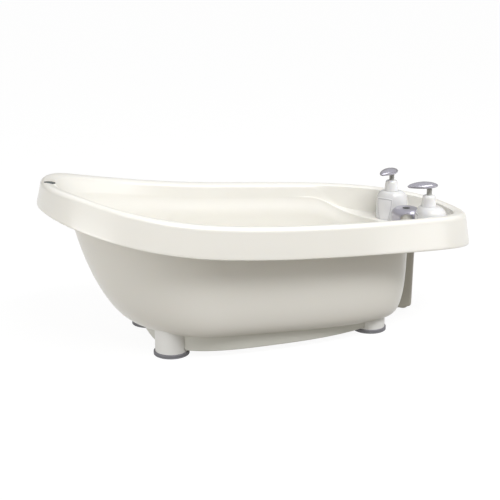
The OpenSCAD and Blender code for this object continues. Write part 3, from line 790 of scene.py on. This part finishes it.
def make_label_edge(side, turn, axis):
    """A fine raised line that follows the label's border."""
    steps = 40

    def border(inset, lift):
        """A closed line round the label, at one distance inside its edge."""
        u_end, v_low, v_high = 1 - inset, inset * 0.6, 1 - inset * 0.6
        ring = [(mix(-u_end, u_end, i / steps), v_low) for i in range(steps)]
        ring += [(u_end, mix(v_low, v_high, i / steps)) for i in range(steps)]
        ring += [(mix(u_end, -u_end, i / steps), v_high) for i in range(steps)]
        ring += [(-u_end, mix(v_high, v_low, i / steps)) for i in range(steps)]
        return [label_point(u, v, lift) for u, v in ring]

    ridge = ((0.05, 0.2), (0.06, 0.45), (0.12, 0.45), (0.13, 0.2))
    points, faces = loft([border(inset, lift) for inset, lift in ridge], ends=False)
    edge = new_piece(f"label_edge_{side}", place(points, axis, turn), faces, f"bottle_{side}",
                     PLASTIC["edge"], "bottle_plastic")
    thicken(edge)


def edge_spread(i, count):
    """Steps from -1 to 1, drawn closer together near both ends."""
    return math.sin((2 * i / (count - 1) - 1) * math.pi / 2)


def make_collar(side, axis):
    """The screw collar: a ribbed cone with a smooth shoulder."""
    low, high = box_mm(f"pump_collar_{side}")
    bore = 5.8
    profile = [
        (12.1, low.z, 0), (16, low.z, 0.8), (15.5, low.z + 9, 1.5), (14.7, high.z - 6, 3),
        (13, high.z - 1.6, 3), (9, high.z - 0.2, 1.2), (bore, high.z, 0.3), (bore, high.z - 3, 0),
        (12.1, high.z - 6, 0),
    ]
    path = rounded([(Vector((r, z)), cut) for r, z, cut in profile], 4)
    count = 180
    rings = []
    for r, z in path:
        ring = []
        grip = 0.28 * smooth((z - low.z - 1) / 2) * smooth((high.z - 7 - z) / 4) * (1 if r > 12.5 else 0)
        for i in range(count):
            a = 2 * math.pi * i / count
            ridge = r - grip * (0.5 - 0.5 * math.cos(36 * a))
            ring.append(Vector((axis.x + ridge * math.cos(a), axis.y + ridge * math.sin(a), z)))
        rings.append(ring)
    new_piece(f"collar_{side}", *closed_loft(rings), f"bottle_{side}", PLASTIC["collar"], "collar_plastic",
              [f"pump_collar_{side}"])


def make_stem(side, axis):
    """The pump's stem, which slides through the collar."""
    low, high = box_mm(f"pump_stem_{side}")
    collar_top = box_mm(f"pump_collar_{side}")[1].z
    head_z = box_mm(f"pump_head_{side}")[0].z
    bore = 1.8
    profile = [
        (bore, low.z, 0), (6.7, low.z, 0.3), (6.7, low.z + 5, 0.4), (4, low.z + 6.5, 0),
        (4, collar_top - 6, 0), (5.7, collar_top - 4.5, 0), (5.7, head_z - 3, 0.5), (5.2, head_z - 1, 0.4),
        (4.6, head_z - 1, 0), (4.6, high.z, 0), (bore, high.z, 0),
    ]
    turned(f"stem_{side}", profile, (axis.x, axis.y), f"plunger_{side}", PLASTIC["stem"], "stem_plastic",
           [f"pump_stem_{side}"], turns=64)


def make_head(side, turn, axis):
    """The pump's lens-shaped head, drawn out to a spout on one side."""
    low, high = box_mm(f"pump_head_{side}")
    middle = low.z + 4.6
    count = 120

    def ring(k, z):
        """The head's plan at a share of its size, with its spout drooping."""
        out = []
        for i in range(count):
            front, back = (SPOUT_REACH - HEAD_MID) * k, (HEAD_BACK + HEAD_MID) * k
            t = 2 * math.pi * i / count
            x, y = outline_point(t, front, back, HEAD_HALF_W * k, HEAD_N, -HEAD_MID)
            droop = SPOUT_DROOP * (max(0, -x) / SPOUT_REACH) ** 2
            out.append(Vector((x, y, z - droop * min(1, (z - low.z) / 2))))
        return out

    under = ((0.2, 0, 0), (0.7, 0, 0.3), (0.94, 1.6, 0.8), (1, 4.6, 0))
    under = rounded([(Vector((k, up)), cut) for k, up, cut in under], 8)
    rings = [ring(k, low.z + up) for k, up in under]
    for k in range(1, 13):
        a = math.radians(90 * k / 13)
        rings.append(ring(math.cos(a) ** 1.1, middle + (high.z - middle) * math.sin(a)))
    points, faces = loft(rings)
    head = tool(f"head_{side}", place(points, axis, turn), faces)
    bottom, top = low.z - 1, low.z + 4
    hole = [(0, bottom, 0), (SPOUT_HOLE_R, bottom, 0), (SPOUT_HOLE_R, top, 0), (0, top, 0)]
    hole = [place(ring_points, axis, turn) for ring_points in lathe(hole, (SPOUT_HOLE_X, 0), 24)]
    combine(head, tool("spout", *loft(hole, ends=False)), "DIFFERENCE")
    even_normals(head)
    finish_piece(head, f"head_{side}", PLASTIC["head"], [f"pump_head_{side}"])


# ---------------------------------------------------------------- materials

def plastic(name, colour, roughness, drift=0.02, skin_mm=0.6, skin_depth_mm=0.02, metallic=0.0, coat=0.0,
            subsurface=0.0, spread=0.03):
    """Moulded plastic or rubber: a faint drift of colour, uneven gloss and a fine skin texture."""
    material = bpy.data.materials.new(name)
    material.use_nodes = True
    nodes, links = material.node_tree.nodes, material.node_tree.links
    shader = nodes["Principled BSDF"]
    shader.inputs["Metallic"].default_value = metallic
    shader.inputs["Coat Weight"].default_value = coat
    shader.inputs["Coat Roughness"].default_value = 0.12
    if subsurface:
        shader.inputs["Subsurface Weight"].default_value = subsurface
        shader.inputs["Subsurface Radius"].default_value = (1.0, 0.85, 0.6)
        shader.inputs["Subsurface Scale"].default_value = 0.003
    place_node = nodes.new("ShaderNodeTexCoord")

    def noise(scale, detail):
        """A noise in the piece's own coordinates."""
        node = nodes.new("ShaderNodeTexNoise")
        node.inputs["Scale"].default_value = scale
        node.inputs["Detail"].default_value = detail
        links.new(place_node.outputs["Object"], node.inputs["Vector"])
        return node.outputs["Fac"]

    def ranged(value, low, high):
        """Spreads a noise between two values."""
        node = nodes.new("ShaderNodeMapRange")
        node.inputs["From Min"].default_value = 0.1
        node.inputs["From Max"].default_value = 0.9
        node.inputs["To Min"].default_value = low
        node.inputs["To Max"].default_value = high
        links.new(value, node.inputs["Value"])
        return node.outputs["Result"]

    shade_mix = nodes.new("ShaderNodeMix")
    shade_mix.data_type = "RGBA"
    darker = [c * (1 - drift) for c in colour]
    lighter = [min(1, c * (1 + drift)) for c in colour]
    shade_mix.inputs["A"].default_value = (*darker, 1)
    shade_mix.inputs["B"].default_value = (*lighter, 1)
    links.new(ranged(noise(7, 3), 0, 1), shade_mix.inputs["Factor"])
    links.new(shade_mix.outputs["Result"], shader.inputs["Base Color"])
    links.new(ranged(noise(40, 4), roughness - spread, roughness + spread), shader.inputs["Roughness"])
    bump = nodes.new("ShaderNodeBump")
    bump.inputs["Strength"].default_value = 0.6
    bump.inputs["Distance"].default_value = skin_depth_mm * MM
    links.new(noise(1 / (skin_mm * MM), 2), bump.inputs["Height"])
    links.new(bump.outputs["Normal"], shader.inputs["Normal"])
    return material


def make_materials():
    """Every material that the pieces use, by a short name."""
    return {
        "tub": plastic("tub_plastic", (0.88, 0.866, 0.818), 0.3, 0.006, 1.4, 0.012, coat=0.2, subsurface=0.05,
                       spread=0.02),
        "leg": plastic("leg_plastic", (0.84, 0.84, 0.825), 0.38, 0.02, 0.5, 0.03),
        # The tray's darker colour is partly its own greyer plastic and partly painted shade, for the shadow
        # under the basin.
        "tray": plastic("tray_plastic", (0.68, 0.68, 0.63), 0.42, 0.02, 0.6, 0.04),
        "foot": plastic("foot_rubber", (0.20, 0.20, 0.22), 0.62, 0.08, 0.7, 0.06),
        # The drain column's darker colour is partly its own greyer plastic and partly painted shade, for the
        # shadow it sits in under the deck and skirt.
        "drain": plastic("drain_plastic", (0.52, 0.50, 0.44), 0.38, 0.02, 0.6, 0.03),
        "grey": plastic("satin_grey", (0.47, 0.46, 0.53), 0.30, 0.03, 0.3, 0.01, metallic=0.55, coat=0.3),
        "head": plastic("head_grey", (0.44, 0.43, 0.49), 0.26, 0.03, 0.3, 0.008, metallic=0.55, coat=0.4),
        "dark": plastic("dark_plastic", (0.035, 0.04, 0.042), 0.34, 0.1, 0.4, 0.02),
        "window": plastic("dark_window", (0.05, 0.065, 0.068), 0.12, 0.1, 1.0, 0.004, coat=1.0, spread=0.03),
        "bottle": plastic("bottle_plastic", (0.77, 0.77, 0.775), 0.22, 0.01, 0.9, 0.02, subsurface=0.15),
        "label": plastic("label_film", (0.84, 0.84, 0.86), 0.34, 0.02, 0.5, 0.01),
        "edge": plastic("label_edge", (0.52, 0.52, 0.54), 0.4, 0.02, 0.5, 0.01),
        "collar": plastic("collar_plastic", (0.84, 0.84, 0.85), 0.24, 0.01, 0.5, 0.01, subsurface=0.1),
        "stem": plastic("stem_plastic", (0.36, 0.36, 0.34), 0.35, 0.02, 0.4, 0.01),
        "pump": plastic("pump_plastic", (0.80, 0.80, 0.82), 0.25, 0.02, 0.5, 0.01),
        "seal": plastic("seal_rubber", (0.03, 0.03, 0.03), 0.6, 0.1, 0.4, 0.04),
        "steel": plastic("steel", (0.62, 0.62, 0.63), 0.28, 0.04, 0.2, 0.01, metallic=1.0),
    }


CAD_FINISHES = {
    "tub_plastic": "tub", "drain_plastic": "drain", "satin_grey": "grey", "steel": "steel",
    "seal_rubber": "seal", "pump_plastic": "pump",
}


def finish_cad_nodes():
    """Gives the CAD nodes that stay in view their materials."""
    slots = {part["node"]: part["material_slot"] for part in frame["record"]["subparts"]}
    for node, piece in frame["nodes"].items():
        finish = CAD_FINISHES.get(slots[node])
        if finish and not piece.hide_render:
            for material_slot in piece.material_slots:
                material_slot.material = PLASTIC[finish]


# ---------------------------------------------------------------- floor, lights and camera

def make_floor():
    """A plain pale floor that the object stands on."""
    reach = 40000
    points = [(-reach, -reach, 0), (reach, -reach, 0), (reach, reach, 0), (-reach, reach, 0)]
    mesh = bpy.data.meshes.new("floor")
    mesh.from_pydata([Vector(p) * MM for p in points], [], [(0, 1, 2, 3)])
    floor = bpy.data.objects.new("floor", mesh)
    bpy.context.scene.collection.objects.link(floor)
    material = bpy.data.materials.new("floor")
    material.use_nodes = True
    shader = material.node_tree.nodes["Principled BSDF"]
    shader.inputs["Base Color"].default_value = (0.1, 0.1, 0.1, 1)
    shader.inputs["Roughness"].default_value = 0.9
    shader.inputs["Specular IOR Level"].default_value = 0.0
    shader.inputs["Emission Color"].default_value = (1, 1, 1, 1)
    shader.inputs["Emission Strength"].default_value = FLOOR_GLOW
    mesh.materials.append(material)
    floor.visible_diffuse = False


def area_light(name, place_m, aim_m, size, power):
    """A rectangular soft light that faces a point."""
    data = bpy.data.lights.new(name, "AREA")
    data.shape = "RECTANGLE"
    data.size, data.size_y = size
    data.energy = power
    light = bpy.data.objects.new(name, data)
    light.location = place_m
    light.rotation_mode = "QUATERNION"
    light.rotation_quaternion = (Vector(aim_m) - Vector(place_m)).to_track_quat("-Z", "Y")
    bpy.context.scene.collection.objects.link(light)


def make_lights():
    """A studio that is bright overhead and dim near the floor, with soft lights above, in front and below."""
    world = bpy.data.worlds.new("studio")
    world.use_nodes = True
    nodes, links = world.node_tree.nodes, world.node_tree.links
    background = nodes["Background"]
    background.inputs["Strength"].default_value = 1
    direction = nodes.new("ShaderNodeTexCoord")
    parts = nodes.new("ShaderNodeSeparateXYZ")
    links.new(direction.outputs["Generated"], parts.inputs["Vector"])
    grade = nodes.new("ShaderNodeMapRange")
    grade.interpolation_type = "SMOOTHSTEP"
    grade.inputs["From Min"].default_value, grade.inputs["From Max"].default_value = WORLD_GRADE
    links.new(parts.outputs["Z"], grade.inputs["Value"])
    tint = nodes.new("ShaderNodeMix")
    tint.data_type = "RGBA"
    tint.inputs["A"].default_value = (*WORLD_LOW, 1)
    tint.inputs["B"].default_value = (*WORLD_HIGH, 1)
    links.new(grade.outputs["Result"], tint.inputs["Factor"])
    links.new(tint.outputs["Result"], background.inputs["Color"])
    bpy.context.scene.world = world
    area_light("overhead", (0.0, 0.2, 2.6), (0, 0, 0), (3.2, 2.6), OVERHEAD_POWER)
    area_light("front", (0.8, -1.7, 2.6), (0, 0, 0.15), (3.0, 1.0), FRONT_POWER)
    area_light("head_side", (-1.8, -0.7, 0.06), (-0.3, 0, 0.2), (1.2, 0.5), HEAD_SIDE_POWER)
    area_light("foot_side", (1.7, -1.1, 0.06), (0.3, 0, 0.2), (1.2, 0.5), FOOT_SIDE_POWER)


def make_camera():
    """The camera, from the near side and a little above the rim."""
    azimuth, elevation = math.radians(CAMERA_AZIMUTH), math.radians(CAMERA_ELEVATION)
    back = Vector((math.sin(azimuth) * math.cos(elevation), -math.cos(azimuth) * math.cos(elevation),
                   math.sin(elevation)))
    data = bpy.data.cameras.new("camera")
    data.lens = CAMERA_LENS
    data.sensor_width = 36
    data.clip_end = 60
    camera = bpy.data.objects.new("camera", data)
    camera.location = (Vector(CAMERA_TARGET) + back * CAMERA_DISTANCE) * MM
    camera.rotation_mode = "QUATERNION"
    camera.rotation_quaternion = (-back).to_track_quat("-Z", "Y")
    bpy.context.scene.collection.objects.link(camera)
    bpy.context.scene.camera = camera


PLASTIC = make_materials()
make_camera()
make_tub()
make_button()
make_legs()
make_tray()
make_column()
make_knob()
make_bottle("near", NEAR_TURN, NEAR_TURN)
make_bottle("far", FAR_TURN, FAR_SPOUT_TURN)
finish_cad_nodes()
make_floor()
make_lights()
bpy.context.scene.view_settings.view_transform = "Standard"
